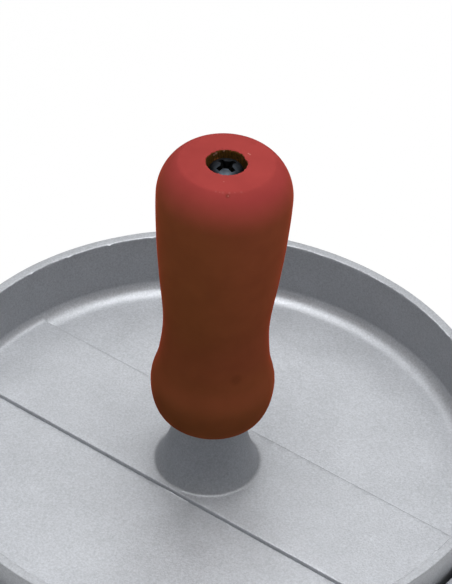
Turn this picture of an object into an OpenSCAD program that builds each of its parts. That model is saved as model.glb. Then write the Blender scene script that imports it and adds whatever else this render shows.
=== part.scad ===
// Two-part burger press. A dish-shaped cast press plate with a turned wooden
// handle drops into a shallow cast mould. One long screw holds the handle.
// Lengths are in millimetres and +Z is up. The origin is on the axis of the
// press, at the face that the mould stands on.

/* [Press plate] */
// Outside diameter of the press plate at its rim
plate_d = 120; // [100:1:150]
// Thickness of the plate's wall at the rim
rim_w = 2; // [1.6:0.1:3.5]
// Depth of the dish, from the rim down to its floor
dish_depth = 15; // [13:0.5:25]
// Thickness of the plate's floor above the ridges
plate_floor_t = 3; // [2:0.1:5]
// How far the inside of the wall leans in on its way down
inner_lean = 0.7; // [0.2:0.1:1.5]
// How far the outside of the wall leans in on its way down
outer_lean = 0.8; // [0.2:0.1:1.5]
// Radius of the cove where the wall meets the floor
dish_cove_r = 3; // [1:0.1:5]
// Radius of the round at the edge of the pressing face
plate_heel_r = 2; // [1:0.1:3]

/* [Raised band] */
// Width of the raised band that crosses the dish
band_w = 25.2; // [18:0.2:36]
// How far the middle of the band lies behind the axis
band_shift = 0.6; // [0:0.1:2]
// Height of the band above the dish's floor
band_h = 0.9; // [0.4:0.1:2]
// Direction of the band, measured from +X
band_angle = -33; // [-90:1:90]

/* [Pedestal] */
// Diameter of the neck that the handle stands on
neck_d = 14.6; // [12:0.1:18]
// Height of the top of the neck above the plate's rim
neck_rise = 1.5; // [0:0.1:8]
// Lean of the pedestal's side at the floor, from upright at its top
flare_lean = 28; // [10:1:45]
// Radius of the root where the pedestal's side runs out into the floor
root_r = 2.5; // [0.5:0.1:4]

/* [Ridges] */
// Number of ring ridges on the pressing face, and on the mould's floor
ridge_count = 5; // [2:1:8]
// Width of a ridge where it meets the face
ridge_w = 2.4; // [1.4:0.1:4]
// Height of a ridge
ridge_h = 1; // [0.5:0.1:2]

/* [Mould] */
// How far the mould's rim lies below the plate's rim
mould_drop = 8.5; // [6:0.5:12]
// Clearance between the plate and the mould's wall, at the mould's rim
mould_gap = 1; // [0.5:0.1:2]
// Thickness of the mould's wall at its rim
mould_wall_t = 2.5; // [2:0.1:4]
// Thickness of the mould's floor below the ridges
mould_floor_t = 3; // [2:0.1:6]
// How far each side of the mould's wall leans in on its way down
mould_lean = 0.3; // [0.1:0.1:0.4]
// Radius of the cove inside the mould
mould_cove_r = 1.5; // [0.8:0.1:2.5]
// Radius of the round under the mould's wall
mould_heel_r = 3; // [1:0.1:4]
// Height of the ring that the mould stands on
foot_h = 1.5; // [0.8:0.1:4]
// Width of the ring that the mould stands on
foot_w = 5; // [3:0.5:12]
// Distance from the mould's outside to the ring that it stands on
foot_inset = 7; // [5:0.5:20]

/* [Handle] */
// Length of the handle
handle_len = 62.8; // [48:0.1:95]
// Diameter of the handle where it is thickest, under its rounded top
crown_d = 26.4; // [23:0.1:34]
// Diameter of the handle's waist
waist_d = 21.4; // [17:0.1:25]
// Diameter of the swelling above the handle's foot
bulge_d = 25.4; // [22:0.1:34]
// Diameter of the flat on top of the handle
top_flat_d = 18.5; // [12:0.1:21]
// Height of the rounded shoulder around that flat
shoulder_h = 7.8; // [3:0.1:14]
// Diameter of the flat underneath the handle
foot_flat_d = 19.4; // [15:0.1:22]
// Height of the rounding above the flat underneath
foot_round_h = 8; // [3:0.1:12]

/* [Screw] */
// Diameter of the screw's shank
screw_d = 4; // [3:0.5:5]
// Diameter of the screw's head
screw_head_d = 7; // [6:0.1:8]
// Height of the screw's head
screw_head_h = 2.6; // [1.8:0.1:3]
// Depth of the head's top below the top of the handle
head_sink = 0.5; // [0.2:0.1:6]
// Length of the shank that is screwed into the pedestal
screw_grip = 10.9; // [7:0.1:12]
// Width of the cross recess, from tip to tip
recess_w = 4.8; // [3:0.1:5.2]
// Width of one arm of the cross recess
recess_arm_w = 1.1; // [0.6:0.1:1.4]
// Depth of the cross recess at its middle
recess_depth = 1.9; // [1:0.1:2.2]
// Angle of the cross recess, measured from +X
recess_turn = 41; // [0:1:90]

/* [Clearances] */
// Radial clearance around the screw's head, in the handle's top
head_clear = 0.45; // [0.2:0.05:1]
// Radial clearance around the shank, in the handle
shank_clear = 0.25; // [0.1:0.05:0.8]
// Radial clearance around the shank, in the plate's tapped hole
thread_clear = 0.05; // [0.02:0.01:0.1]
// Depth of the tapped hole beyond the screw's tip
tip_clear = 1.5; // [0.5:0.1:2]

/* [Hidden] */
$fn = 96;

// How far a cut or a joined piece runs past the face it meets
overrun = 1;
// Bevel along the sharp edges of the two castings' rims
rim_edge = 0.3;
// How far each side of a ridge slopes in
ridge_slope = 0.4;
// Bevel around the screw's tip
tip_bevel = 0.5;

// Levels, from the face that the mould stands on up to the handle's top
mould_floor_z = foot_h + mould_floor_t;
contact_z = mould_floor_z + ridge_h;
plate_under_z = contact_z + ridge_h;
dish_floor_z = plate_under_z + plate_floor_t;
rim_z = dish_floor_z + dish_depth;
mould_rim_z = rim_z - mould_drop;
seat_z = rim_z + neck_rise;
top_z = seat_z + handle_len;

// Radii of the press plate
rim_r = plate_d / 2;
plate_foot_r = rim_r - outer_lean;
face_r = plate_foot_r - plate_heel_r;
wall_in_r = rim_r - rim_w;
wall_foot_r = wall_in_r - inner_lean;
neck_r = neck_d / 2;

// The pedestal's side is one long arc, and its root a short one inside it.
// The two meet where both lean by the same angle
pedestal_h = seat_z - dish_floor_z;
flare_r = pedestal_h / sin(flare_lean);
root_lean = asin((pedestal_h - root_r) / (flare_r - root_r));
root_foot_r = neck_r + flare_r - (flare_r - root_r) * cos(root_lean);

// Radii of the mould. Its wall stands off the plate's own leaning wall
mould_rim_share = mould_drop / (rim_z - plate_under_z - plate_heel_r);
mould_in_r = rim_r - outer_lean * mould_rim_share + mould_gap;
mould_out_r = mould_in_r + mould_wall_t;
foot_r = mould_out_r - foot_inset;

// Distance between ridges. This share of it stays flat outside the last one
ridge_margin_share = 0.5;
ridge_pitch = face_r / (ridge_count + ridge_margin_share);

// Levels of the screw and its hole
head_top_z = top_z - head_sink;
head_seat_z = head_top_z - screw_head_h;
screw_tip_z = seat_z - screw_grip;
shank_r = screw_d / 2;
head_r = screw_head_d / 2;

// The turned outline between the foot's rounding and the shoulder: each
// station's share of that height, from the bulge at 0 to the crown at 1
station_height_shares = [0, 0.13, 0.31, 0.59, 0.77, 1];
// The waist is the third station. The second is this share of the way out
// to the bulge, and the fourth and fifth are these shares out to the crown
below_waist_share = 0.35;
above_waist_shares = [0.5, 0.81];
// The shoulder is part of an ellipse, whose middle lies at this share of the
// top flat's radius, so it falls away from the flat's edge at a clear angle
shoulder_middle_share = 0.55;

// Radius of the dome on the screw's head, and of the round around its edge,
// as shares of the head's own radius
head_dome_share = 2.2;
head_edge_share = 0.43;
// Share of the recess's width that is left at its deepest place
recess_point_share = 0.35;

arc_steps = 8;
spline_steps = 7;

// Points along a part of an ellipse, from angle a to angle b
function arc_points(centre, rx, ry, a, b) = [
    for (i = [0 : arc_steps])
        let (t = a + (b - a) * i / arc_steps)
        centre + [rx * cos(t), ry * sin(t)]
];

// The four corners of ring ridge i, which rises from level foot to level crest
function ridge_points(i, foot, crest) =
    let (r = ridge_pitch * i)
    [
        [r - ridge_w / 2, foot],
        [r - ridge_w / 2 + ridge_slope, crest],
        [r + ridge_w / 2 - ridge_slope, crest],
        [r + ridge_w / 2, foot]
    ];

function backwards(points) = [for (i = [len(points) - 1 : -1 : 0]) points[i]];
function after_first(points) = [for (i = [1 : len(points) - 1]) points[i]];

// Radius and height of each station along the handle
station_r = [
    bulge_d / 2,
    (waist_d + (bulge_d - waist_d) * below_waist_share) / 2,
    waist_d / 2,
    (waist_d + (crown_d - waist_d) * above_waist_shares[0]) / 2,
    (waist_d + (crown_d - waist_d) * above_waist_shares[1]) / 2,
    crown_d / 2
];
station_z = [
    for (s = station_height_shares)
        seat_z + foot_round_h + s * (handle_len - foot_round_h - shoulder_h)
];
waist_station = 2;
last_station = len(station_r) - 1;
// The outline runs straight up at the bulge, the waist and the crown
station_slope = [
    for (i = [0 : last_station])
        (i == 0 || i == waist_station || i == last_station) ? 0
            : (station_r[i + 1] - station_r[i - 1]) / (station_z[i + 1] - station_z[i - 1])
];

// A smooth curve through the stations, one cubic for each stretch
function stretch_point(i, t) =
    let (h = station_z[i + 1] - station_z[i])
    [
        (2 * t ^ 3 - 3 * t ^ 2 + 1) * station_r[i] + (t ^ 3 - 2 * t ^ 2 + t) * h * station_slope[i]
            + (3 * t ^ 2 - 2 * t ^ 3) * station_r[i + 1] + (t ^ 3 - t ^ 2) * h * station_slope[i + 1],
        station_z[i] + t * h
    ];
grip_points = [
    for (i = [0 : last_station - 1])
        for (k = [1 : spline_steps])
            if (i < last_station - 1 || k < spline_steps) stretch_point(i, k / spline_steps)
];

module base_mould() {
    outline = concat(
        [[0, foot_h], [foot_r - foot_w, foot_h], [foot_r - foot_w, 0], [foot_r, 0], [foot_r, foot_h]],
        arc_points([mould_out_r - mould_lean - mould_heel_r, foot_h + mould_heel_r],
            mould_heel_r, mould_heel_r, -90, 0),
        [
            [mould_out_r, mould_rim_z - rim_edge],
            [mould_out_r - rim_edge, mould_rim_z],
            [mould_in_r + rim_edge, mould_rim_z],
            [mould_in_r, mould_rim_z - rim_edge]
        ],
        arc_points([mould_in_r - mould_lean - mould_cove_r, mould_floor_z + mould_cove_r],
            mould_cove_r, mould_cove_r, 0, -90),
        [for (i = [ridge_count : -1 : 1]) each backwards(ridge_points(i, mould_floor_z, contact_z))],
        [[0, mould_floor_z]]
    );
    color("#B4B7BC") rotate_extrude() polygon(outline);
}

module dish() {
    outline = concat(
        [[0, plate_under_z]],
        [for (i = [1 : ridge_count]) each ridge_points(i, plate_under_z, contact_z)],
        arc_points([face_r, plate_under_z + plate_heel_r], plate_heel_r, plate_heel_r, -90, 0),
        [
            [rim_r, rim_z - rim_edge],
            [rim_r - rim_edge, rim_z],
            [wall_in_r + rim_edge, rim_z],
            [wall_in_r, rim_z - rim_edge]
        ],
        arc_points([wall_foot_r - dish_cove_r, dish_floor_z + dish_cove_r],
            dish_cove_r, dish_cove_r, 0, -90),
        arc_points([root_foot_r, dish_floor_z + root_r], root_r, root_r, 270, 180 + root_lean),
        after_first(arc_points([neck_r + flare_r, seat_z], flare_r, flare_r, 180 + root_lean, 180)),
        [[0, seat_z]]
    );
    rotate_extrude() polygon(outline);
}

// The band runs from wall to wall, and its ends sink into the cove
module raised_band() {
    band_foot_z = dish_floor_z - plate_floor_t / 2;
    intersection() {
        rotate([0, 0, band_angle])
            translate([-rim_r, band_shift - band_w / 2, band_foot_z])
                cube([2 * rim_r, band_w, plate_floor_t / 2 + band_h]);
        cylinder(r = wall_foot_r + rim_w / 4, h = rim_z);
    }
}

module press_plate() {
    color("#BEC1C5") difference() {
        union() {
            dish();
            raised_band();
        }
        translate([0, 0, screw_tip_z - tip_clear])
            cylinder(r = shank_r + thread_clear, h = screw_grip + tip_clear + overrun);
    }
}

module handle() {
    shoulder_r = shoulder_middle_share * top_flat_d / 2;
    shoulder_w = crown_d / 2 - shoulder_r;
    flat_angle = acos((top_flat_d / 2 - shoulder_r) / shoulder_w);
    outline = concat(
        [[0, seat_z]],
        arc_points([foot_flat_d / 2, seat_z + foot_round_h],
            (bulge_d - foot_flat_d) / 2, foot_round_h, -90, 0),
        grip_points,
        arc_points([shoulder_r, top_z - shoulder_h],
            shoulder_w, shoulder_h / sin(flat_angle), 0, flat_angle),
        [[0, top_z]]
    );
    color("#A84441") difference() {
        rotate_extrude() polygon(outline);
        translate([0, 0, seat_z - overrun])
            cylinder(r = shank_r + shank_clear, h = handle_len);
        translate([0, 0, head_seat_z])
            cylinder(r = head_r + head_clear, h = screw_head_h + head_sink + overrun);
    }
}

// One arm of the recess, as a slot that narrows towards its foot
module recess_arm() {
    point_w = recess_w * recess_point_share;
    rotate([90, 0, 0])
        linear_extrude(height = recess_arm_w, center = true)
            polygon([
                [-recess_w / 2, 0],
                [-point_w / 2, -recess_depth],
                [point_w / 2, -recess_depth],
                [recess_w / 2, 0],
                [recess_w / 2, overrun],
                [-recess_w / 2, overrun]
            ]);
}

module handle_screw() {
    // The head's side rounds over into its dome where both lean alike
    dome_r = head_r * head_dome_share;
    edge_r = head_r * head_edge_share;
    edge_lean = asin((head_r - edge_r) / (dome_r - edge_r));
    edge_z = head_top_z - dome_r + (dome_r - edge_r) * cos(edge_lean);
    outline = concat(
        [
            [0, screw_tip_z],
            [shank_r - tip_bevel, screw_tip_z],
            [shank_r, screw_tip_z + tip_bevel],
            [shank_r, head_seat_z],
            [head_r, head_seat_z]
        ],
        arc_points([head_r - edge_r, edge_z], edge_r, edge_r, 0, 90 - edge_lean),
        after_first(arc_points([0, head_top_z - dome_r], dome_r, dome_r, 90 - edge_lean, 90))
    );
    color("#1C1D20") difference() {
        rotate_extrude() polygon(outline);
        for (a = [recess_turn, recess_turn + 90])
            translate([0, 0, head_top_z]) rotate([0, 0, a]) recess_arm();
    }
}

base_mould();
press_plate();
handle();
handle_screw();
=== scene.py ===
from math import acos, asin, ceil, cos, degrees, pi, radians, sin, sqrt

import bmesh
import bpy
from mathutils import Matrix, Vector, noise


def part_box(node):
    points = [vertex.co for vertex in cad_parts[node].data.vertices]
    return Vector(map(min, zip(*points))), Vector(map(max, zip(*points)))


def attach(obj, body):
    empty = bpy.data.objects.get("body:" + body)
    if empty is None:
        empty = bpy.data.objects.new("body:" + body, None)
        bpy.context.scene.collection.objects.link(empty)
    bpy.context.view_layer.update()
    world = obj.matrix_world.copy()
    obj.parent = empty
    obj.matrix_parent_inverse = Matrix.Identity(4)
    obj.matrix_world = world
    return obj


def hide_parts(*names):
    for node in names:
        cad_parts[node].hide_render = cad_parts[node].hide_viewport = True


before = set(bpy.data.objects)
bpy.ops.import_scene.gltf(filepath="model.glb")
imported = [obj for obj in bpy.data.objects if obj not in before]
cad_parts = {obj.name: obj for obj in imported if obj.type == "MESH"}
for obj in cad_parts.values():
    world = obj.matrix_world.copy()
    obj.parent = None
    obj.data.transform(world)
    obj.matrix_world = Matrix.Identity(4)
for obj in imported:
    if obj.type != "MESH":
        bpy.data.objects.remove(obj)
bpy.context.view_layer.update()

bl_info = {
    "name": "Burger press",
    "version": (1, 0, 0),
    "blender": (4, 5, 0),
    "location": "3D View > Sidebar > Burger press",
    "description": "Dresses the two-part burger press: castings, turned handle, screw and studio",
    "category": "Object",
}

MM = 0.001
# Lowest and highest corner of each CAD node, which the pieces are made to fit
BOX = {node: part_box(node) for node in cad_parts}

# Edges that turn by more than this stay crisp
CRISP = radians(34)
# Points closer than this are one point
MERGE = 0.0005 * MM


def linear(hex_colour):
    """An sRGB hex colour as the linear values that Blender's colours hold."""
    channels = [int(hex_colour[i:i + 2], 16) / 255 for i in (1, 3, 5)]
    return [c / 12.92 if c <= 0.04045 else ((c + 0.055) / 1.055) ** 2.4 for c in channels]


def size(name, mm, about):
    """A length that is written in millimetres and kept in metres."""
    return bpy.props.FloatProperty(
        name=name, description=about, default=mm * MM, min=0.0, unit="LENGTH", precision=5)


def share(name, value, about):
    """A number without a unit, such as a share of a length or a finish's roughness."""
    return bpy.props.FloatProperty(name=name, description=about, default=value, min=0.0, precision=3)


def turn(name, angle, about):
    """An angle that is written in degrees and kept in radians."""
    return bpy.props.FloatProperty(
        name=name, description=about, default=radians(angle), subtype="ANGLE")


def count(name, value, about):
    """A whole number of steps or of like things."""
    return bpy.props.IntProperty(name=name, description=about, default=value, min=1)


def paint(name, hex_colour, about):
    """A colour that is written as sRGB hex and kept linear."""
    return bpy.props.FloatVectorProperty(
        name=name, description=about, default=linear(hex_colour), size=3, subtype="COLOR",
        min=0.0, max=1.0)


class BURGER_PRESS_PG_castings(bpy.types.PropertyGroup):
    """Sizes of the cast press plate and of the mould under it."""

    rim_width: size("Rim width", 2, "Thickness of the plate's wall at the rim")
    dish_depth: size("Dish depth", 15, "From the plate's rim down to its floor")
    plate_floor: size("Plate floor", 3, "Thickness of the plate's floor above the ridges")
    inner_lean: size("Inner lean", 0.7, "How far the inside of the plate's wall leans in on its way down")
    outer_lean: size("Outer lean", 0.8, "How far the outside of that wall leans in on its way down")
    cove_width: size("Cove width", 3.8, "Width of the round between the dish's wall and floor")
    cove_rise: size("Cove rise", 3, "Height of that round, which is a little wider than tall")
    heel_radius: size("Heel radius", 2, "Round at the edge of the pressing face")
    band_width: size("Band width", 25.2, "Width of the raised band across the dish")
    band_shift: size("Band shift", 0.6, "How far the middle of the band lies behind the axis")
    band_height: size("Band height", 0.9, "Height of the band above the dish's floor")
    band_turn: turn("Band turn", -33, "Direction of the band, measured from +X")
    neck_width: size("Neck width", 14.6, "Diameter of the neck that the handle stands on")
    flare_lean: turn("Flare lean", 28, "Lean of the pedestal's side at the floor, from upright at its top")
    root_radius: size("Root radius", 2.5, "Round where the pedestal's side runs out into the floor")
    hole_width: size("Hole width", 4.1, "Diameter of the tapped hole in the neck")
    hole_depth: size("Hole depth", 12.4, "Depth of the tapped hole below the top of the neck")
    ridge_count: count("Ridge count", 5, "Ring ridges on the pressing face, and on the mould's floor")
    ridge_width: size("Ridge width", 2.4, "Width of a ridge where it meets the face")
    ridge_height: size("Ridge height", 1, "Height of a ridge")
    ridge_slope: size("Ridge slope", 0.4, "How far each side of a ridge slopes in")
    mould_wall: size("Mould wall", 2.5, "Thickness of the mould's wall at its rim")
    mould_lean: size("Mould lean", 0.3, "How far each side of the mould's wall leans in on its way down")
    mould_cove: size("Mould cove", 1.5, "Round inside the foot of the mould's wall")
    mould_heel: size("Mould heel", 3, "Round under the mould's wall")
    foot_height: size("Foot height", 1.5, "Height of the ring that the mould stands on")
    foot_width: size("Foot width", 5, "Width of the ring that the mould stands on")
    foot_inset: size("Foot inset", 7, "From the mould's outside to the ring that it stands on")
    corner_round: size("Corner round", 0.25, "Round on the castings' worked edges")
    waviness: size("Waviness", 0.03, "How far the cast skin strays from a true surface")
    burr_depth: size("Burr depth", 0.34, "How far a burr stands in from the plate's inner rim edge")
    steps: count("Steps", 608, "Facets around each casting")


class BURGER_PRESS_PG_handle(bpy.types.PropertyGroup):
    """Sizes of the turned handle."""

    waist_width: size("Waist width", 21.4, "Diameter at the waist")
    bulge_width: size("Bulge width", 25.4, "Diameter of the swelling above the foot")
    top_flat: size("Top flat", 18.5, "Diameter of the flat on top")
    top_edge: size("Top edge", 0.6, "Round where the shoulder falls away from that flat")
    shoulder_height: size("Shoulder height", 7.8, "Height of the rounded shoulder around that flat")
    shoulder_middle: share(
        "Shoulder middle", 0.55, "Middle of the shoulder's ellipse, as a share of the flat's radius")
    foot_flat: size("Foot flat", 19.4, "Diameter of the flat underneath")
    foot_round: size("Foot round", 8, "Height of the rounding above the flat underneath")
    shank_bore: size("Shank bore", 4.5, "Diameter of the hole for the screw's shank")
    head_bore: size("Head bore", 7.9, "Diameter of the hole for the screw's head")
    mouth_round: size("Mouth round", 0.16, "Round where the lacquer runs over the hole's edge")
    tear_depth: size("Tear depth", 0.2, "How far the wood's fibres are torn along the hole's edge")
    steps: count("Steps", 288, "Facets around the handle")


class BURGER_PRESS_PG_screw(bpy.types.PropertyGroup):
    """Sizes of the pan head screw."""

    shank_width: size("Shank width", 4, "Diameter of the shank")
    head_width: size("Head width", 7, "Diameter of the head")
    head_height: size("Head height", 2.6, "Height of the head")
    head_dome: share("Head dome", 2.2, "Radius of the domed top, as a share of the head's own radius")
    head_edge: share("Head edge", 0.43, "Round at the head's edge, as a share of the head's own radius")
    tip_bevel: size("Tip bevel", 0.5, "Bevel around the screw's tip")
    recess_width: size("Recess width", 4.8, "Width of the cross recess from tip to tip")
    recess_arm: size("Recess arm", 1.1, "Width of one arm of the recess")
    recess_heart: size("Recess heart", 3.4, "Width of the recess's square heart, from corner to corner")
    recess_depth: size("Recess depth", 1.9, "Depth of the recess at its middle")
    recess_point: share("Recess point", 0.35, "Share of the recess's width that is left at its bottom")
    recess_turn: turn("Recess turn", 41, "Angle of the recess, measured from +X")
    thread_pitch: size("Thread pitch", 0.7, "Rise of the thread in one turn")
    thread_depth: size("Thread depth", 0.4, "Depth of the thread")
    thread_length: size("Thread length", 22, "Length of the thread up from the tip")
    steps: count("Steps", 128, "Facets around the head")


class BURGER_PRESS_PG_finishes(bpy.types.PropertyGroup):
    """Colours and gloss of the finishes."""

    casting_colour: paint("Casting", "#B8BBC0", "Cast aluminium")
    casting_metal: share(
        "Casting metal", 0.45, "Share of bright metal in the cast skin, the rest is dull oxide")
    casting_roughness: share("Casting roughness", 0.5, "Roughness of the cast skin")
    # Painted light and painted shade: the lit colour of the handle where it faces up, and the shaded colour
    # of its sides
    lacquer_lit_top: paint("Lacquer, end grain", "#9E403D", "Lacquer on surfaces that face along the grain")
    lacquer_shaded_side: paint("Lacquer, side grain", "#80492A", "Lacquer on surfaces that face across the grain")
    lacquer_sheen: paint("Lacquer sheen", "#C84A3C", "Red glow of the lacquer where it is seen edge on")
    lacquer_roughness: share("Lacquer roughness", 0.5, "Roughness of the matte lacquer")
    # Also the colour of the painted highlight along the front of the handle's top edge
    dust_scuff_and_highlight_colour: paint("Scuffs", "#C98A80", "Dust and scuffs in the lacquer")
    smudge_colour: paint("Smudge", "#4A2A12", "A faint dark smudge on the handle's swelling")
    bare_wood: paint("Bare wood", "#734E0C", "Oiled bare wood inside the screw's hole")
    torn_fibre: paint("Torn fibre", "#F0B8A0", "Pale chips of torn wood at the hole's edge")
    lacquer_drip: paint("Lacquer drip", "#D08040", "Drips of lacquer inside the screw's hole")
    steel_colour: paint("Blackened steel", "#31363C", "Blackened steel of the screw")
    steel_roughness: share("Steel roughness", 0.44, "Roughness of the blackened steel")


class BURGER_PRESS_PG_stage(bpy.types.PropertyGroup):
    """Camera, lamps and floor."""

    lens: bpy.props.FloatProperty(
        name="Lens", description="Focal length on the long side of a 36 mm frame", default=135.62)
    elevation: turn("Elevation", 40.168, "How far the camera looks down")
    roll: turn("Roll", 3.918, "How far the camera leans to its left")
    distance: size("Distance", 485.516, "From the camera to the point that it aims at")
    aim_x: size("Aim, X", 1.533, "The point that the camera aims at, to the right of the axis")
    aim_y: size("Aim, Y", 38.301, "The point that the camera aims at, behind the axis")
    aim_rise: size("Aim, height", 24.5, "The point that the camera aims at, above the table")
    lamp_distance: size("Lamp distance", 1600, "From the object to each of the softboxes")
    main_width: size("Main softbox width", 750, "Side of the square softbox that hangs straight overhead")
    main_light: share("Main softbox light", 13.4, "Brightness of the softbox overhead, where 1 is white")
    fill_width: size("Fill softbox width", 900, "Side of the square softboxes behind and to the right")
    fill_lean: turn("Fill softbox lean", 42, "How far from overhead the two dimmer softboxes stand")
    back_light: share("Back softbox light", 1.6, "Brightness of the softbox behind the object")
    side_light: share("Side softbox light", 0.9, "Brightness of the softbox to the right of the object")
    air_light: share("Air light", 0.06, "Brightness of the room around the object")
    floor_radius: size("Floor radius", 9000, "Radius of the pale floor")


SETTINGS = {
    "castings": BURGER_PRESS_PG_castings,
    "handle": BURGER_PRESS_PG_handle,
    "screw": BURGER_PRESS_PG_screw,
    "finishes": BURGER_PRESS_PG_finishes,
    "stage": BURGER_PRESS_PG_stage,
}


def settings(group):
    """The sizes or finishes of one group, as the sidebar shows them."""
    return getattr(bpy.context.scene, "burger_press_" + group)


def arc(centre, width, height, start, end, steps=12):
    """Points of an ellipse's arc in the plane of a section, between two angles in degrees."""
    angles = [radians(start + (end - start) * i / steps) for i in range(steps + 1)]
    return [Vector((centre[0] + width * cos(a), centre[1] + height * sin(a))) for a in angles]


def straight(start, end, pitch):
    """Points evenly along a straight line, its first end left out, no further apart than the pitch."""
    start, end = Vector(start), Vector(end)
    steps = max(1, round((end - start).length / pitch))
    return [start.lerp(end, i / steps) for i in range(1, steps + 1)]


def eased(outline, radius, steps=3):
    """The outline with its corners rounded, as fettling leaves a casting's edges."""
    # A turn below this is no corner, and a round takes less than half of a side
    least_turn, most_of_side = radians(20), 0.45
    points = [Vector(p) for p in outline]
    result = points[:1]
    for before, corner, after in zip(points, points[1:], points[2:]):
        back, onward = before - corner, after - corner
        if back.angle(-onward) < least_turn:
            result.append(corner)
            continue
        reach = min(radius, most_of_side * back.length, most_of_side * onward.length)
        start = corner + back.normalized() * reach
        end = corner + onward.normalized() * reach
        for i in range(steps + 1):
            t = i / steps
            result.append((1 - t) ** 2 * start + 2 * t * (1 - t) * corner + t * t * end)
    return result + points[-1:]


def turned(outline, steps, closed=False):
    """A body of revolution: the outline of its half section, spun an eighth of a turn about Z,
    then copied round by an eighth, a quarter and a half turn and merged, which is far quicker."""
    bm = bmesh.new()
    verts = [bm.verts.new((p[0], 0, p[1])) for p in outline]
    edges = [bm.edges.new(pair) for pair in zip(verts, verts[1:])]
    if closed:
        edges.append(bm.edges.new((verts[-1], verts[0])))
    bmesh.ops.spin(bm, geom=verts + edges, cent=(0, 0, 0), axis=(0, 0, 1), dvec=(0, 0, 0),
                   angle=pi / 4, steps=steps // 8, use_merge=False, use_duplicate=False)
    for angle in (pi / 4, pi / 2, pi):
        copy = bmesh.ops.duplicate(bm, geom=bm.verts[:] + bm.edges[:] + bm.faces[:])["geom"]
        bmesh.ops.rotate(bm, verts=[v for v in copy if isinstance(v, bmesh.types.BMVert)],
                         matrix=Matrix.Rotation(angle, 3, "Z"))
    bmesh.ops.remove_doubles(bm, verts=bm.verts, dist=MERGE)
    bmesh.ops.recalc_face_normals(bm, faces=bm.faces)
    return bm


def finished(name, bm, body, slot, materials, *nodes):
    """Makes a bmesh a piece that rides on a body and stands for CAD nodes."""
    for face in bm.faces:
        face.smooth = True
    for edge in bm.edges:
        edge.smooth = len(edge.link_faces) == 2 and edge.calc_face_angle(0) < CRISP
    mesh = bpy.data.meshes.new(name)
    bm.to_mesh(mesh)
    bm.free()
    for material in materials:
        mesh.materials.append(material)
    piece = bpy.data.objects.new(name, mesh)
    bpy.context.scene.collection.objects.link(piece)
    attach(piece, body)
    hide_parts(*nodes)


def ring_noise(angle, waves, seed):
    """Smooth noise around a full turn, about that many waves, between -1 and 1."""
    reach = waves / (2 * pi)
    return noise.noise(Vector((reach * cos(angle), reach * sin(angle), seed)))


def face_radius(c):
    """Radius of the plate's flat pressing face."""
    return BOX["press_plate"][1].x - c.outer_lean - c.heel_radius


def rim_edge(c):
    """Radius of the inner edge of the plate's rim."""
    return BOX["press_plate"][1].x - c.rim_width


def ridges(c, foot, crest):
    """Corners of the ring ridges from the axis outwards, from level foot to level crest."""
    # The face ends half a pitch outside the middle of the last ridge
    pitch = face_radius(c) / (c.ridge_count + 0.5)
    corners = []
    for i in range(1, c.ridge_count + 1):
        middle, half = i * pitch, c.ridge_width / 2
        corners += [(middle - half, foot), (middle - half + c.ridge_slope, crest),
                    (middle + half - c.ridge_slope, crest), (middle + half, foot)]
    return corners


def uneven(bm, c, seed):
    """Lets the cast skin stray a little from its true surface, in soft waves 7 mm long."""
    wave = 7 * MM
    bm.normal_update()
    for vert in bm.verts:
        vert.co += vert.normal * c.waviness * noise.noise(vert.co / wave + Vector((0, 0, seed)))


def plate_levels(c):
    """Heights of the plate's underside, floor and rim."""
    under = BOX["press_plate"][0].z + c.ridge_height
    floor = under + c.plate_floor
    return under, floor, floor + c.dish_depth


def over_rim(c, outside, inner_edge, inside):
    """A wall's two sides, joined over its rim with both edges eased."""
    rim = eased([outside[-2], outside[-1], inner_edge, inside[0]], c.corner_round, steps=4)
    return outside[:-1] + rim[1:-1] + inside[:-1]


def plate_outline(c):
    """Half section of the press plate, from its underside on the axis round to its tapped hole."""
    under, floor, rim = plate_levels(c)
    crest, seat = BOX["press_plate"][0].z, BOX["press_plate"][1].z
    wall_foot = rim_edge(c) - c.inner_lean
    neck, hole = c.neck_width / 2, c.hole_width / 2
    # The flat face ends a little inside the heel, so that it is shaded flat
    face_end = face_radius(c) - 0.5 * MM
    below = [(0, under), *ridges(c, under, crest), (face_end, under)]
    heel = arc((face_radius(c), under + c.heel_radius), c.heel_radius, c.heel_radius, -90, 0, steps=6)
    outside = straight(heel[-1], (BOX["press_plate"][1].x, rim), pitch=3 * MM)
    inside = straight((rim_edge(c), rim), (wall_foot, floor + c.cove_rise), pitch=1 * MM)
    cove_middle = (wall_foot - c.cove_width, floor + c.cove_rise)
    cove = dish_arc(c, cove_middle, c.cove_width, c.cove_rise, 0, -90, steps=16)
    # The pedestal's side is one long arc, and its root a short one inside it
    rise = seat - floor
    flare = rise / sin(c.flare_lean)
    root_lean = asin((rise - c.root_radius) / (flare - c.root_radius))
    root_foot = neck + flare - (flare - c.root_radius) * cos(root_lean)
    meeting = 180 + degrees(root_lean)
    root_middle = (root_foot, floor + c.root_radius)
    root = dish_arc(c, root_middle, c.root_radius, c.root_radius, 270, meeting, steps=8)
    side = arc((neck + flare, seat), flare, flare, meeting, 180, steps=14)
    flat = straight(cove[-1], root[0], pitch=2.5 * MM)[:-1]
    top = eased([side[-2], side[-1], (hole, seat), (hole, seat - c.hole_depth)], c.corner_round)
    hole_point = Vector((0, seat - c.hole_depth - hole / 2))
    wall = over_rim(c, outside, (rim_edge(c), rim), inside)
    return (eased(below, c.corner_round, steps=2)[:-1] + heel + wall + cove + flat + root[:-1] + side[:-1]
            + top[1:] + [hole_point])


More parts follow.
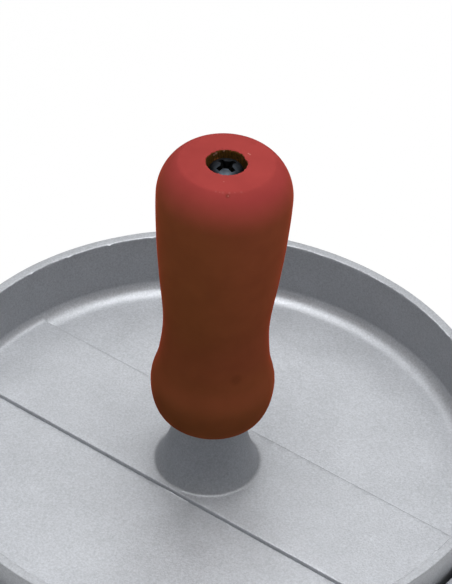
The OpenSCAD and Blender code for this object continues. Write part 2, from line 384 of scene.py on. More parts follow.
def dish_arc(c, centre, width, height, start, end, steps):
    """A round that rises from the dish's floor, with a point at the raised band's height."""
    # An arc's own point that is this near serves as that point
    near = 0.03 * MM
    points = arc(centre, width, height, start, end, steps)
    level = plate_levels(c)[1] + c.band_height
    reach = width * sqrt(1 - ((centre[1] - level) / height) ** 2)
    side = 1 if points[0].x + points[-1].x > 2 * centre[0] else -1
    crossing = Vector((centre[0] + side * reach, level))
    falling = points[0].y > points[-1].y
    place = next(i for i, p in enumerate(points) if (p.y < level) == falling)
    if min((crossing - p).length for p in points[place - 1:place + 1]) < near:
        return points
    return points[:place] + [crossing] + points[place:]


def raise_band(bm, c):
    """Cuts the band's edges into the dish and lifts the floor between them."""
    under, floor, rim = plate_levels(c)
    across = Vector((-sin(c.band_turn), cos(c.band_turn), 0))
    # The band's side in section: how far in from its foot, and that share of its height
    side = [(0, 0), (0.07 * MM, 0.8), (0.16 * MM, 0.94), (0.3 * MM, 1)]
    lowest, highest, reach = (under + floor) / 2, rim - c.band_height, rim_edge(c)

    def in_dish(point):
        return lowest < point.z < highest and point.xy.length < reach

    faces = [f for f in bm.faces if in_dish(f.calc_center_median())]
    edges = dict.fromkeys(e for f in faces for e in f.edges)
    geometry = [*faces, *edges, *dict.fromkeys(v for f in faces for v in f.verts)]
    for sign in (-1, 1):
        for inset, _ in side:
            edge = c.band_shift + sign * (c.band_width / 2 - inset)
            geometry = bmesh.ops.bisect_plane(
                bm, geom=geometry, dist=MERGE, plane_co=across * edge, plane_no=across)["geom"]
    # Where the band meets the cove and the flare, a soft root of about this size
    root = 0.6 * MM
    for vert in bm.verts:
        inset = c.band_width / 2 - abs(vert.co.dot(across) - c.band_shift)
        if inset < -MERGE or not in_dish(vert.co):
            continue
        lift = side[-1][1]
        for (near, low), (far, high) in zip(side, side[1:]):
            if inset <= far + MERGE:
                lift = low + (high - low) * max(0, (inset - near) / (far - near))
                break
        level = floor + c.band_height * lift
        overlap = max(0, root * lift - abs(vert.co.z - level))
        vert.co.z = max(vert.co.z, level) + (overlap ** 2 / (4 * root * lift) if lift > 0 else 0)


def roughen_rim(bm, c):
    """Leaves burrs and a wandering line on the inner edge of the plate's rim."""
    rim, edge = plate_levels(c)[2], rim_edge(c)
    # How far from the edge the metal is moved, and how far it is bent up or down
    reach, bend = 0.8 * MM, 0.05 * MM
    # Directions of the larger burrs, in degrees, each about a millimetre and a half wide
    burrs = [8, 98, 106, 116, 126, 136, 171, 203, 236, 262, 291, 322, 347]
    burr_half_width = radians(0.7)
    for vert in bm.verts:
        radius = vert.co.xy.length
        near = 1 - max(abs(radius - edge), rim - vert.co.z) / reach
        if near <= 0:
            continue
        angle = Vector((1, 0)).angle_signed(vert.co.xy)
        wander = 0.14 * MM * ring_noise(angle, waves=130, seed=3)
        wander += 0.12 * MM * ring_noise(angle, waves=380, seed=5)
        burr = 0
        for place in burrs:
            off = abs((-angle - radians(place) + pi) % (2 * pi) - pi) / burr_half_width
            burr = max(burr, 1 - off * off)
        shift = -wander - c.burr_depth * burr
        vert.co.xy *= 1 + shift * near / radius
        vert.co.z += near * bend * (ring_noise(angle, waves=90, seed=9) - burr)


def mould_outline(c):
    """Half section of the mould, from its underside on the axis round to its floor."""
    low, high = BOX["base_mould"]
    crest = BOX["press_plate"][0].z
    floor = crest - c.ridge_height
    out, rim = high.x, high.z
    wall = out - c.mould_wall
    foot = out - c.foot_inset
    ledge = low.z + c.foot_height
    foot_inside = foot - c.foot_width
    heel_middle = (out - c.mould_lean - c.mould_heel, ledge + c.mould_heel)
    heel = arc(heel_middle, c.mould_heel, c.mould_heel, -90, 0, steps=10)
    below = [(0, ledge), (foot_inside, ledge), (foot_inside, low.z), (foot, low.z), (foot, ledge), heel[0]]
    outside = straight(heel[-1], (out, rim), pitch=1.5 * MM)
    inside = straight((wall, rim), (wall - c.mould_lean, floor + c.mould_cove), pitch=1.5 * MM)
    cove_middle = (wall - c.mould_lean - c.mould_cove, floor + c.mould_cove)
    cove = arc(cove_middle, c.mould_cove, c.mould_cove, 0, -90, steps=8)
    above = [cove[-1], *ridges(c, floor, crest)[::-1], (0, floor)]
    return (eased(below, c.corner_round)[:-1] + heel + over_rim(c, outside, (wall, rim), inside)
            + cove[:-1] + eased(above, c.corner_round, steps=2))


def handle_outline(h):
    """Half section of the turned handle with its bores, as a closed outline."""
    low, high = BOX["handle"]
    crown, bulge, waist = high.x, h.bulge_width / 2, h.waist_width / 2
    # The grip's stations: share of the height from the bulge to the crown, and radius
    stations = [
        (0, bulge),
        (0.13, waist + 0.35 * (bulge - waist)),
        (0.31, waist),
        (0.59, waist + 0.5 * (crown - waist)),
        (0.77, waist + 0.81 * (crown - waist)),
        (1, crown),
    ]
    base = low.z + h.foot_round
    grip = high.z - h.shoulder_height - base
    points = [Vector((radius, base + at * grip)) for at, radius in stations]
    # The outline runs straight up at the bulge, the waist and the crown
    slopes = [0] * len(points)
    for i in (1, 3, 4):
        chord = points[i + 1] - points[i - 1]
        slopes[i] = chord.x / chord.y
    foot = arc((h.foot_flat / 2, base), bulge - h.foot_flat / 2, h.foot_round, -90, 0, steps=14)
    # The shoulder is part of an ellipse and meets the flat at a clear angle, which is then eased
    middle = h.shoulder_middle * h.top_flat / 2
    flat_angle = acos((h.top_flat / 2 - middle) / (crown - middle))
    shoulder = arc((middle, high.z - h.shoulder_height), crown - middle,
                   h.shoulder_height / sin(flat_angle), 0, degrees(flat_angle), steps=18)
    grip_pitch = 1.2 * MM
    curve = []
    for i, (start, end) in enumerate(zip(points, points[1:])):
        rise = end.y - start.y
        steps = max(4, round(rise / grip_pitch))
        for k in range(1, steps + 1):
            t = k / steps
            radius = ((2 * t ** 3 - 3 * t ** 2 + 1) * start.x + (t ** 3 - 2 * t ** 2 + t) * rise * slopes[i]
                      + (3 * t ** 2 - 2 * t ** 3) * end.x + (t ** 3 - t ** 2) * rise * slopes[i + 1])
            curve.append(Vector((radius, start.y + t * rise)))
    mouth, shank = h.head_bore / 2, h.shank_bore / 2
    seat = head_levels(settings("screw"))[0]
    # The flat has closer points from here in to the mouth, where the wood is torn
    brink = (mouth + 1 * MM, high.z)
    top_edge = eased([shoulder[-3], shoulder[-1], brink], h.top_edge, steps=6)[1:-1]
    flat = straight(top_edge[-1], brink, pitch=0.8 * MM)
    flat += straight(brink, (mouth + h.mouth_round, high.z), pitch=0.2 * MM)
    lip_middle = (mouth + h.mouth_round, high.z - h.mouth_round)
    lip = arc(lip_middle, h.mouth_round, h.mouth_round, 90, 180, steps=4)
    bore = straight(lip[-1], (mouth, seat), pitch=0.22 * MM)
    shank_top, shank_foot = (shank, seat - 1 * MM), (shank, low.z + 0.3 * MM)
    seat_edge = eased([bore[-2], (mouth, seat), (shank, seat), shank_top], radius=0.1 * MM, steps=2)[1:-1]
    inner = straight(shank_top, shank_foot, pitch=4 * MM)
    below = eased([inner[-1], (shank, low.z), foot[0], foot[1]], radius=0.25 * MM)[1:-1]
    return (foot[1:] + curve[:-1] + shoulder[:-2] + top_edge + flat[:-1] + lip[:-1] + bore[:-1]
            + seat_edge + inner + below)


def tear_mouth(bm, h):
    """Tears the wood's fibres along the mouth of the screw's hole, most at the back left."""
    top = BOX["handle"][1].z
    seat = head_levels(settings("screw"))[0]
    mouth = h.head_bore / 2
    worst = radians(125)
    # How far the tears run out over the flat and down the bore, and what stays whole at the seat
    outward, downward, whole = 0.9 * MM, 1.6 * MM, 0.3 * MM
    # Single tears: direction and half width in degrees, and how far the edge stands out or in
    tears = [(25, 13, -0.2 * MM), (47, 5, 0.14 * MM), (2, 7, 0.12 * MM), (148, 6, -0.1 * MM),
             (224, 9, 0.08 * MM)]
    for vert in bm.verts:
        radius, drop = vert.co.xy.length, top - vert.co.z
        if radius > mouth + outward or vert.co.z < seat + whole:
            continue
        angle = -Vector((1, 0)).angle_signed(vert.co.xy)
        torn = 0.6 + 0.4 * (0.5 + 0.5 * cos(angle - worst)) ** 2
        tear = ring_noise(angle, waves=46, seed=2) + 0.8 * ring_noise(angle, waves=130, seed=4)
        single = sum(out * max(0, 1 - (degrees(angle - radians(at) + pi) % 360 - 180) ** 2 / half ** 2)
                     for at, half, out in tears)
        fibre = ring_noise(angle, waves=210, seed=8)
        if radius > mouth + MERGE:
            near = 1 - (radius - mouth) / outward
            vert.co.xy *= 1 + (h.tear_depth * torn * tear + single) * near / radius
            vert.co.z -= 0.5 * h.tear_depth * torn * max(0, tear) * near ** 3
        else:
            near = max(0, 1 - drop / downward)
            shift = h.tear_depth * torn * (tear * near + 0.3 * fibre) + single * near
            vert.co.xy *= 1 + shift / radius


def head_levels(s):
    """Heights of the seat of the screw's head and of its domed top."""
    top = BOX["handle_screw"][1].z
    return top - s.head_height, top


def screw_outline(s):
    """Half section of the screw above its thread, from the axis up the plain shank to the dome."""
    seat, top = head_levels(s)
    head, shank = s.head_width / 2, s.shank_width / 2
    thread_end = BOX["handle_screw"][0].z + s.thread_length
    # The head's side rounds over into its dome where both lean alike
    dome, edge = head * s.head_dome, head * s.head_edge
    lean = asin((head - edge) / (dome - edge))
    middle = top - dome + (dome - edge) * cos(lean)
    round_over = arc((head - edge, middle), edge, edge, 0, 90 - degrees(lean))
    crown = arc((0, top - dome), dome, dome, 90 - degrees(lean), 90)[1:-1] + [Vector((0, top))]
    below = [(0, thread_end), (shank, thread_end), (shank, seat), (head, seat), round_over[0]]
    return eased(below, radius=0.12 * MM)[:-1] + round_over + crown


def threaded_end(s):
    """The screw's thread as a closed body: its zigzag section is spun once round while it climbs by
    one pitch, so that it meets itself again, and is cut flat at both ends and chamfered at the tip."""
    tip = BOX["handle_screw"][0].z
    crest = s.shank_width / 2
    root = crest - s.thread_depth
    # Shares of the pitch at which the root, one flank, the crest and the other flank begin
    shares = [(root, 0), (root, 0.25), (crest, 0.5625), (crest, 0.6875)]
    around = 40
    bm = bmesh.new()
    # It starts a turn and a half below the tip, so that the flat cuts meet it all round
    start = tip - 1.5 * s.thread_pitch
    laps = ceil(s.thread_length / s.thread_pitch) + 2
    section = [bm.verts.new((radius, 0, start + (lap + at) * s.thread_pitch))
               for lap in range(laps) for radius, at in shares]
    edges = [bm.edges.new(pair) for pair in zip(section, section[1:])]
    bmesh.ops.spin(bm, geom=section + edges, cent=(0, 0, 0), axis=(0, 0, 1), angle=2 * pi, steps=around,
                   dvec=(0, 0, s.thread_pitch / around), use_merge=False, use_duplicate=False)
    bmesh.ops.remove_doubles(bm, verts=bm.verts, dist=MERGE)
    for level, low in ((tip, True), (tip + s.thread_length, False)):
        bmesh.ops.bisect_plane(
            bm, geom=bm.verts[:] + bm.edges[:] + bm.faces[:], dist=MERGE, plane_co=(0, 0, level),
            plane_no=(0, 0, 1), clear_inner=low, clear_outer=not low)
    bmesh.ops.holes_fill(bm, edges=[e for e in bm.edges if e.is_boundary], sides=0)
    for vert in bm.verts:
        allowed = root - s.tip_bevel / 2 + vert.co.z - tip
        vert.co.xy *= min(1, allowed / vert.co.xy.length)
    bmesh.ops.recalc_face_normals(bm, faces=bm.faces)
    return bm


def cross_recess(s):
    """The cutter for the cross recess: two slots and a square heart, all narrower at the bottom."""
    top = head_levels(s)[1]
    over = 0.5 * MM
    # The cutter widens above the head too, so its top is wider than the recess's own mouth
    wider = 1 + (1 - s.recess_point) * over / s.recess_depth
    # The share of its width that an arm keeps at the bottom
    arm_point = 0.7
    bm = bmesh.new()
    for quarter in (0, 1):
        slot = bmesh.ops.create_cube(bm, size=1)["verts"]
        for vert in slot:
            high = vert.co.z > 0
            vert.co.x *= s.recess_width * (wider if high else s.recess_point)
            vert.co.y *= s.recess_arm * (1 if high else arm_point)
            vert.co.z = over if high else -s.recess_depth
        bmesh.ops.rotate(bm, verts=slot, matrix=Matrix.Rotation(quarter * pi / 2, 3, "Z"))
    corner = s.recess_heart / 2
    heart = bmesh.ops.create_cone(
        bm, cap_ends=True, segments=4, radius1=corner * s.recess_point, radius2=corner * wider,
        depth=s.recess_depth + over)["verts"]
    bmesh.ops.translate(bm, verts=heart, vec=(0, 0, (over - s.recess_depth) / 2))
    bmesh.ops.rotate(bm, verts=bm.verts, matrix=Matrix.Rotation(s.recess_turn, 3, "Z"))
    bmesh.ops.translate(bm, verts=bm.verts, vec=(0, 0, top))
    bmesh.ops.recalc_face_normals(bm, faces=bm.faces)
    return bm


def in_recess(face, s):
    """Whether a face of the screw is a wall or the bottom of its recess."""
    # How far the recess's faces may lie outside its width, and how deep they lie at the least
    beyond, skin = 0.02 * MM, 0.03 * MM
    seat, top = head_levels(s)
    centre = face.calc_center_median()
    radius = centre.xy.length
    dome = s.head_width / 2 * s.head_dome
    surface = top - dome + sqrt(dome ** 2 - min(radius, dome) ** 2)
    return radius < s.recess_width / 2 + beyond and seat < centre.z < surface - skin


def cut_away(bm, cutter):
    """The bmesh with a cutter's volume taken out of it."""
    body = bpy.data.objects.new("blank", bpy.data.meshes.new("blank"))
    tool = bpy.data.objects.new("cutter", bpy.data.meshes.new("cutter"))
    bm.to_mesh(body.data)
    cutter.to_mesh(tool.data)
    bm.free()
    cutter.free()
    for item in (body, tool):
        bpy.context.scene.collection.objects.link(item)
    cut = body.modifiers.new("cut", "BOOLEAN")
    cut.operation, cut.object, cut.solver, cut.use_self = "DIFFERENCE", tool, "EXACT", True
    result = bmesh.new()
    result.from_mesh(body.evaluated_get(bpy.context.evaluated_depsgraph_get()).data)
    for item in (body, tool):
        mesh = item.data
        bpy.data.objects.remove(item)
        bpy.data.meshes.remove(mesh)
    return result


def add_node(tree, kind, inputs, out=None, **options):
    """Adds a shader node with its settings and links, and returns its named or first output. The
    inputs go by name, or as a list in the node's own order, which for a Map Range is the value,
    the two ends of the range that it comes from, and what it becomes there."""
    node = tree.nodes.new("ShaderNode" + kind)
    for name, value in options.items():
        setattr(node, name, value)
    sockets = [i for i in node.inputs if i.enabled]
    if isinstance(inputs, dict):
        given = [(next(i for i in sockets if i.name == name), value) for name, value in inputs.items()]
    else:
        given = zip(sockets, inputs)
    for socket, value in given:
        if isinstance(value, bpy.types.NodeSocket):
            tree.links.new(value, socket)
        else:
            socket.default_value = value
    return next((o for o in node.outputs if o.enabled and out in (None, o.name)), None)


def finish(name, build, *values):
    """A material with the shader that a function builds in its tree, from the place on the piece in
    Object coordinates and from the values."""
    material = bpy.data.materials.new(name)
    material.use_nodes = True
    tree = material.node_tree
    tree.nodes.clear()
    place = add_node(tree, "TexCoord", [], "Object")
    add_node(tree, "OutputMaterial", {"Surface": build(tree, place, *values)})
    return material


def per_size(mm):
    """The scale at which a noise's grains are about this many millimetres wide."""
    return 1 / (mm * MM)


def opaque(colour):
    """A colour with full opacity, as colour sockets hold it."""
    return (*colour, 1)


def scaled(tree, colour, factors):
    """A colour that is multiplied by each of the factors."""
    for factor in factors:
        colour = add_node(tree, "VectorMath", [colour, factor], operation="SCALE")
    return colour


def cast_aluminium(tree, own_place, f, seed):
    """Sand-cast aluminium: a pale blue-grey metal with a fine matt grain that scatters every reflection,
    small darker pits, faint cloudy patches some millimetres across, painted shade on its steep walls
    and a painted highlight along the plate's inner rim edge."""
    place = add_node(tree, "Mapping", {"Vector": own_place, "Location": (seed, 0, 0)})
    # Width in millimetres, detail and roughness of the grit, the pits and the clouds
    patterns = [(0.42, 3, 0.7), (0.8, 4, 0.7), (9, 3, 0.5)]
    grit, pits, clouds = [
        add_node(tree, "TexNoise", {
            "Vector": place, "Scale": per_size(width), "Detail": detail, "Roughness": rough})
        for width, detail, rough in patterns]
    cloudy = add_node(tree, "MapRange", [clouds, 0.3, 0.7, 0.94, 1.04])
    speckled = add_node(tree, "MapRange", [grit, 0.3, 0.7, 0.82, 1.16])
    # Painted shade: the steep walls are made darker than what faces up or down, as the light falls from
    # overhead
    facing = add_node(tree, "TexCoord", [], "Normal")
    upward = add_node(tree, "SeparateXYZ", [facing], "Z")
    steep = add_node(tree, "Math", [upward], operation="ABSOLUTE")
    steep_wall_painted_shade = add_node(tree, "MapRange", [steep, 0.08, 0.3, 0.82, 1])
    # The plate's rim is ground flat, a little darker than the cast skin, and its inner edge is lightened as
    # a painted highlight
    castings = settings("castings")
    rim, edge = plate_levels(castings)[2], rim_edge(castings)
    level = add_node(tree, "VectorMath", [own_place, (1, 1, 0)], operation="MULTIPLY")
    reach = add_node(tree, "VectorMath", [level], operation="LENGTH")
    # Painted highlight within a few tenths of a millimetre of the inner edge, and the ground rim's darker
    # tone beyond it
    bright = add_node(tree, "MapRange", [reach, edge + 0.08 * MM, edge + 0.25 * MM, 1.2, 0.9])
    height = add_node(tree, "SeparateXYZ", [own_place], "Z")
    ground_rim_and_painted_edge_highlight = add_node(tree, "MapRange", [height, rim - 0.4 * MM, rim - 0.2 * MM, 1, bright])
    colour = scaled(tree, f.casting_colour[:], [cloudy, speckled, steep_wall_painted_shade, ground_rim_and_painted_edge_highlight])
    matt = f.casting_roughness
    roughness = add_node(tree, "MapRange", [clouds, 0.3, 0.7, matt - 0.03, matt + 0.03])
    skin = add_node(tree, "Bump", {"Height": pits, "Strength": 1, "Distance": 0.05 * MM})
    grain = add_node(tree, "Bump", {"Height": grit, "Strength": 1, "Distance": 0.03 * MM, "Normal": skin})
    return add_node(tree, "BsdfPrincipled", {
        "Base Color": colour, "Metallic": f.casting_metal, "Roughness": roughness, "Normal": grain})


def marked(tree, place, colour, marks, tint):
    """A colour with single soft marks of another tint: each has its place and radius in
    millimetres and its strength."""
    for spot, radius, strength in marks:
        centre = [MM * x for x in spot]
        away = add_node(tree, "VectorMath", [place, centre], operation="DISTANCE")
        mark = add_node(tree, "MapRange", [away, 0.4 * radius * MM, radius * MM, strength, 0])
        colour = add_node(tree, "Mix", [mark, colour, opaque(tint)], data_type="RGBA")
    return colour


def red_lacquer(tree, place, f):
    """Matt red lacquer on turned beech with painted light: lighter and a clear red where it faces up,
    browner and darker on its sides, with a soft sheen, faint lengthwise fibres, dust specks, and pale
    scuffs with a painted highlight along the front of its top edge."""
    facing = add_node(tree, "TexCoord", [], "Normal")
    upward = add_node(tree, "SeparateXYZ", [facing], "Z")
    across = add_node(tree, "SeparateXYZ", [place], "X")
    height = add_node(tree, "SeparateXYZ", [place], "Z")
    # Painted light: the lacquer is lighter and redder where it faces up and a little to the right, where
    # the lamps fall, and less so low on the grip
    upward_painted_light = add_node(tree, "MapRange", [upward, -0.2, 0.9, 0, 1], interpolation_type="SMOOTHSTEP")
    right_painted_light = add_node(
        tree, "MapRange", [across, -6 * MM, 9 * MM, 0, 0.14], interpolation_type="SMOOTHSTEP")
    painted_light_fade_low = add_node(tree, "MapRange", [height, 40 * MM, 50 * MM, 0.3, 1])
    painted_light_share = add_node(tree, "Math", [upward_painted_light, right_painted_light], operation="ADD")
    painted_light_share = add_node(tree, "Math", [painted_light_share, painted_light_fade_low], operation="MULTIPLY")
    colour = add_node(
        tree, "Mix", [painted_light_share, opaque(f.lacquer_shaded_side), opaque(f.lacquer_lit_top)], data_type="RGBA")
    # It is lighter or darker in soft patches; painted light makes it lighter around the swelling, lit from
    # the dish below, and painted shade darker at the left, away from the lamp at the right
    film = add_node(tree, "TexNoise", {"Vector": place, "Scale": per_size(5), "Detail": 2})
    patchy = add_node(tree, "MapRange", [film, 0.3, 0.7, 0.95, 1.05])
    swelling_painted_light = add_node(tree, "MapRange", [height, 34 * MM, 48 * MM, 1.18, 1])
    left_painted_shade = add_node(tree, "MapRange", [across, -12 * MM, 6 * MM, 0.93, 1.02])
    colour = scaled(tree, colour, [patchy, swelling_painted_light, left_painted_shade])
    smudges = [((4.71, -10.03, 42.66), 1.6, 0.2), ((0.6, -9.71, 88.2), 0.6, 0.45)]
    dust = [((4.0, 3.2, 88.8), 0.24, 0.5), ((4.3, 2.92, 88.8), 0.24, 0.5),
            ((-0.28, -6.09, 88.8), 0.17, 0.45), ((-3.3, -8.22, 88.6), 0.22, 0.35),
            ((0.72, -9.71, 88.2), 0.26, 0.9)]
    # Pale marks along the front of the top edge: partly scuffed lacquer, partly a painted highlight on that
    # edge
    scuffs_and_edge_highlight = [((-1.6, -9.1, 88.6), 0.3, 0.12), ((-0.9, -9.25, 88.6), 0.22, 0.2),
              ((-0.3, -9.3, 88.6), 0.4, 0.1), ((0.9, -9.25, 88.6), 0.3, 0.16),
              ((1.9, -9.05, 88.6), 0.22, 0.2), ((3.1, -8.75, 88.6), 0.35, 0.1)]
    colour = marked(tree, place, colour, smudges, f.smudge_colour)
    colour = marked(tree, place, colour, dust + scuffs_and_edge_highlight, f.dust_scuff_and_highlight_colour)
    fibre_place = add_node(tree, "Mapping", {"Vector": place, "Scale": (1, 1, 0.04)})
    fibres = add_node(tree, "TexNoise", {"Vector": fibre_place, "Scale": per_size(0.9), "Detail": 3})
    grain = add_node(tree, "Bump", {"Height": fibres, "Strength": 0.5, "Distance": 0.01 * MM})
    return add_node(tree, "BsdfPrincipled", {
        "Base Color": colour, "Roughness": f.lacquer_roughness, "IOR": 1.5, "Specular IOR Level": 0,
        "Sheen Weight": 0.6, "Sheen Roughness": 0.28, "Sheen Tint": opaque(f.lacquer_sheen),
        "Normal": grain})


def bare_beech(tree, place, f):
    """Bare beech inside the bore, dark with oil: olive brown, with lengthwise torn fibres, a few
    pale chips along the mouth and orange drips of lacquer below them."""
    fibre_place = add_node(tree, "Mapping", {"Vector": place, "Scale": (1, 1, 0.25)})
    fibres = add_node(tree, "TexNoise", {"Vector": fibre_place, "Scale": per_size(0.25), "Detail": 2})
    tone = add_node(tree, "MapRange", [fibres, 0.35, 0.7, 0.6, 1.5])
    drips = [((-2.3, 3.21, 86.9), 0.35, 0.9), ((-1.8, 3.52, 86.9), 0.3, 0.9),
             ((1.91, 3.46, 86.9), 0.35, 0.5), ((2.89, 2.69, 87.9), 0.35, 0.5)]
    chips = [((-2.54, 3.02, 88.15), 0.35, 0.9), ((-2.11, 3.34, 88.2), 0.35, 0.9),
             ((-0.69, 3.89, 88.5), 0.25, 0.7)]
    colour = scaled(tree, f.bare_wood[:], [tone])
    colour = marked(tree, place, colour, drips, f.lacquer_drip)
    colour = marked(tree, place, colour, chips, f.torn_fibre)
    rough = add_node(tree, "Bump", {"Height": fibres, "Strength": 1, "Distance": 0.05 * MM})
    return add_node(tree, "BsdfPrincipled", {
        "Base Color": colour, "Roughness": 0.75, "IOR": 1.5, "Normal": rough})


def blackened_steel(tree, place, f):
    """Steel with a black oxide: a near-black satin skin with a cool grey sheen on its rounds,
    a little paler where handling has polished it."""
    wear = add_node(tree, "TexNoise", {"Vector": place, "Scale": per_size(0.8), "Detail": 3})
    tone = add_node(tree, "MapRange", [wear, 0.35, 0.7, 0.8, 1.35])
    colour = scaled(tree, f.steel_colour[:], [tone])
    skin = add_node(tree, "Bump", {"Height": wear, "Strength": 1, "Distance": 0.01 * MM})
    return add_node(tree, "BsdfPrincipled", {
        "Base Color": colour, "Metallic": 1, "Roughness": f.steel_roughness, "Normal": skin})


def painted_recess_shade(tree, place):
    """Painted shade in the recess: near black and dull over the black oxide, with a few lumps in its bump.
    """
    lumps = add_node(tree, "TexNoise", {"Vector": place, "Scale": per_size(0.6), "Detail": 3})
    tone = add_node(tree, "MapRange", [lumps, 0.3, 0.7, 0.0005, 0.002])
    colour = add_node(tree, "CombineXYZ", [tone, tone, tone])
    skin = add_node(tree, "Bump", {"Height": lumps, "Strength": 1, "Distance": 0.05 * MM})
    return add_node(tree, "BsdfPrincipled", {
        "Base Color": colour, "Roughness": 0.7, "IOR": 1.45, "Specular IOR Level": 0.1, "Normal": skin})


def shown_rays(tree):
    """1 for the rays that show the surroundings themselves, in view or in metal, and 0 for light."""
    seen = add_node(tree, "LightPath", [], "Is Camera Ray")
    for ray in ("Is Glossy Ray", "Is Transmission Ray"):
        more = add_node(tree, "LightPath", [], ray)
        seen = add_node(tree, "Math", [seen, more], operation="MAXIMUM")
    return seen


def table_paper(tree, place):
    """White table paper: white to the eye, grey where the object's shadow falls, and plain white
    further off, so that it runs into the room without an edge."""
    paper = add_node(tree, "BsdfDiffuse", {"Color": (0.9, 0.9, 0.9, 1)})
    bright = add_node(tree, "Emission", {"Color": (1, 1, 1, 1), "Strength": 1})
    reach = add_node(tree, "VectorMath", [place], operation="LENGTH")
    plain = add_node(
        tree, "MapRange", [reach, 200 * MM, 800 * MM, 0.85, 1], interpolation_type="SMOOTHSTEP")
    shown = add_node(tree, "Math", [shown_rays(tree), plain], operation="MULTIPLY")
    return add_node(tree, "MixShader", [shown, paper, bright])


def room_air(stage):
    """A dim even room: white to the eye low down, where the table's paper runs up behind the object."""
    world = bpy.data.worlds.new("studio_room")
    bpy.context.scene.world = world
    world.use_nodes = True
    tree = world.node_tree
    tree.nodes.clear()
    direction = add_node(tree, "TexCoord", [], "Generated")
    height = add_node(tree, "SeparateXYZ", [direction], "Z")
    low = add_node(tree, "MapRange", [height, 0.12, 0.3, 1, 0], interpolation_type="SMOOTHSTEP")
    shown = add_node(tree, "Math", [shown_rays(tree), low], operation="MULTIPLY")
    air_colour = opaque([stage.air_light] * 3)
    colour = add_node(tree, "Mix", [shown, air_colour, (1, 1, 1, 1)], data_type="RGBA")
    air = add_node(tree, "Background", {"Color": colour, "Strength": 1})
    add_node(tree, "OutputWorld", {"Surface": air})


def softbox(name, place, width, light):
    """A square area lamp that faces the object, with a face as bright as light, where 1 is white."""
    lamp = bpy.data.lights.new(name, "AREA")
    lamp.shape, lamp.size = "SQUARE", width
    lamp.energy = light * pi * width ** 2
    item = bpy.data.objects.new(name, lamp)
    item.location = place
    item.rotation_euler = Vector(place).to_track_quat("Z", "Y").to_euler()
    bpy.context.scene.collection.objects.link(item)


class BURGER_PRESS_OT_plate(bpy.types.Operator):
    """Adds the cast press plate with its rim, raised band and pedestal"""

    bl_idname = "burger_press.plate"
    bl_label = "Press plate"

    def execute(self, context):
        c = settings("castings")
        bm = turned(plate_outline(c), c.steps)
        raise_band(bm, c)
        roughen_rim(bm, c)
        uneven(bm, c, 1)
        skin = finish("cast_aluminium_plate", cast_aluminium, settings("finishes"), 0)
        finished("press_plate_casting", bm, "press", "cast_plate", [skin], "press_plate")
        return {"FINISHED"}


class BURGER_PRESS_OT_mould(bpy.types.Operator):
    """Adds the shallow ridged mould that the press plate drops into"""

    bl_idname = "burger_press.mould"
    bl_label = "Mould"

    def execute(self, context):
        c = settings("castings")
        bm = turned(mould_outline(c), c.steps)
        skin = finish("cast_aluminium_mould", cast_aluminium, settings("finishes"), 0.5)
        finished("mould_casting", bm, "mould", "cast_mould", [skin], "base_mould")
        return {"FINISHED"}


class BURGER_PRESS_OT_handle(bpy.types.Operator):
    """Adds the turned and lacquered wooden handle"""

    bl_idname = "burger_press.handle"
    bl_label = "Handle"

    def execute(self, context):
        h, f = settings("handle"), settings("finishes")
        bm = turned(handle_outline(h), h.steps, closed=True)
        # The lacquer runs over the lip, and what is closer in and lower is bare wood
        bare_radius = h.head_bore / 2 + 0.02 * MM
        bare_height = BOX["handle"][1].z - 0.1 * MM
        for face in bm.faces:
            centre = face.calc_center_median()
            face.material_index = int(centre.xy.length < bare_radius and centre.z < bare_height)
        tear_mouth(bm, h)
        finishes = [finish("red_lacquered_beech", red_lacquer, f), finish("bare_beech_bore", bare_beech, f)]
        finished("turned_handle", bm, "press", "red_lacquered_wood", finishes, "handle")
        return {"FINISHED"}


class BURGER_PRESS_OT_screw(bpy.types.Operator):
    """Adds the long screw with its pan head and cross recess"""

    bl_idname = "burger_press.screw"
    bl_label = "Handle screw"

    def execute(self, context):
        s, f = settings("screw"), settings("finishes")
        bm = cut_away(turned(screw_outline(s), s.steps), cross_recess(s))
        for face in bm.faces:
            # The recess's faces take the painted shade
            face.material_index = int(in_recess(face, s))
        thread = threaded_end(s)
        part = bpy.data.meshes.new("thread")
        thread.to_mesh(part)
        thread.free()
        bm.from_mesh(part)
        bpy.data.meshes.remove(part)
        finishes = [finish("black_oxide_steel", blackened_steel, f),
                    finish("painted_shade_in_recess", painted_recess_shade)]
        finished("pan_head_screw", bm, "press", "blackened_steel", finishes, "handle_screw")
        return {"FINISHED"}


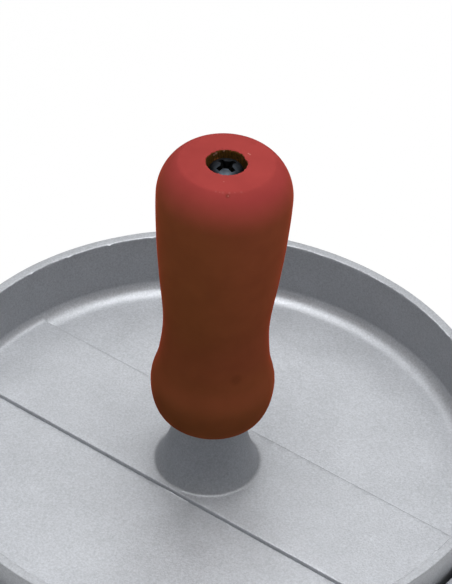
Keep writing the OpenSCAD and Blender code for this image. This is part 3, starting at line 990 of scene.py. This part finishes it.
class BURGER_PRESS_OT_stage(bpy.types.Operator):
    """Adds the pale floor, the soft studio light and the camera"""

    bl_idname = "burger_press.stage"
    bl_label = "Studio"

    def execute(self, context):
        stage = settings("stage")
        bm = bmesh.new()
        bmesh.ops.create_circle(bm, cap_ends=True, segments=96, radius=stage.floor_radius)
        mesh = bpy.data.meshes.new("table_floor")
        bm.to_mesh(mesh)
        bm.free()
        mesh.materials.append(finish("white_table_paper", table_paper))
        floor = bpy.data.objects.new("table_floor", mesh)
        context.scene.collection.objects.link(floor)
        room_air(stage)
        reach, lean = stage.lamp_distance, stage.fill_lean
        softbox("softbox_overhead", (0, 0, reach), stage.main_width, stage.main_light)
        aside, up = reach * sin(lean), reach * cos(lean)
        softbox("softbox_behind", (0, aside, up), stage.fill_width, stage.back_light)
        softbox("softbox_right", (aside, 0, up), stage.fill_width, stage.side_light)
        lens = bpy.data.cameras.new("photo_camera")
        lens.lens, lens.sensor_width = stage.lens, 36
        lens.clip_start, lens.clip_end = 0.01, 100
        camera = bpy.data.objects.new("photo_camera", lens)
        context.scene.collection.objects.link(camera)
        look = Matrix.Rotation(pi / 2 - stage.elevation, 3, "X") @ Matrix.Rotation(stage.roll, 3, "Z")
        aim = Vector((stage.aim_x, stage.aim_y, stage.aim_rise))
        camera.rotation_euler = look.to_euler()
        camera.location = aim + look @ Vector((0, 0, stage.distance))
        context.scene.camera = camera
        context.scene.view_settings.view_transform = "Standard"
        return {"FINISHED"}


class BURGER_PRESS_PT_sidebar(bpy.types.Panel):
    """Lists the burger press's pieces and sizes"""

    bl_label = "Burger press"
    bl_space_type = "VIEW_3D"
    bl_region_type = "UI"
    bl_category = "Burger press"

    def draw(self, context):
        for operator in OPERATORS:
            self.layout.operator(operator.bl_idname)
        for group in SETTINGS:
            box = self.layout.box()
            box.label(text=group.capitalize())
            values = settings(group)
            for name in values.bl_rna.properties.keys():
                if name not in ("rna_type", "name"):
                    box.prop(values, name)


OPERATORS = [
    BURGER_PRESS_OT_mould,
    BURGER_PRESS_OT_plate,
    BURGER_PRESS_OT_handle,
    BURGER_PRESS_OT_screw,
    BURGER_PRESS_OT_stage,
]


def register():
    for item in [*SETTINGS.values(), *OPERATORS, BURGER_PRESS_PT_sidebar]:
        bpy.utils.register_class(item)
    for group, item in SETTINGS.items():
        setattr(bpy.types.Scene, "burger_press_" + group, bpy.props.PointerProperty(type=item))


def unregister():
    for group in SETTINGS:
        delattr(bpy.types.Scene, "burger_press_" + group)
    for item in [BURGER_PRESS_PT_sidebar, *reversed(OPERATORS), *reversed(SETTINGS.values())]:
        bpy.utils.unregister_class(item)


def main():
    register()
    for operator in OPERATORS:
        space, name = operator.bl_idname.split(".")
        getattr(getattr(bpy.ops, space), name)()


if __name__ == "__main__":
    main()
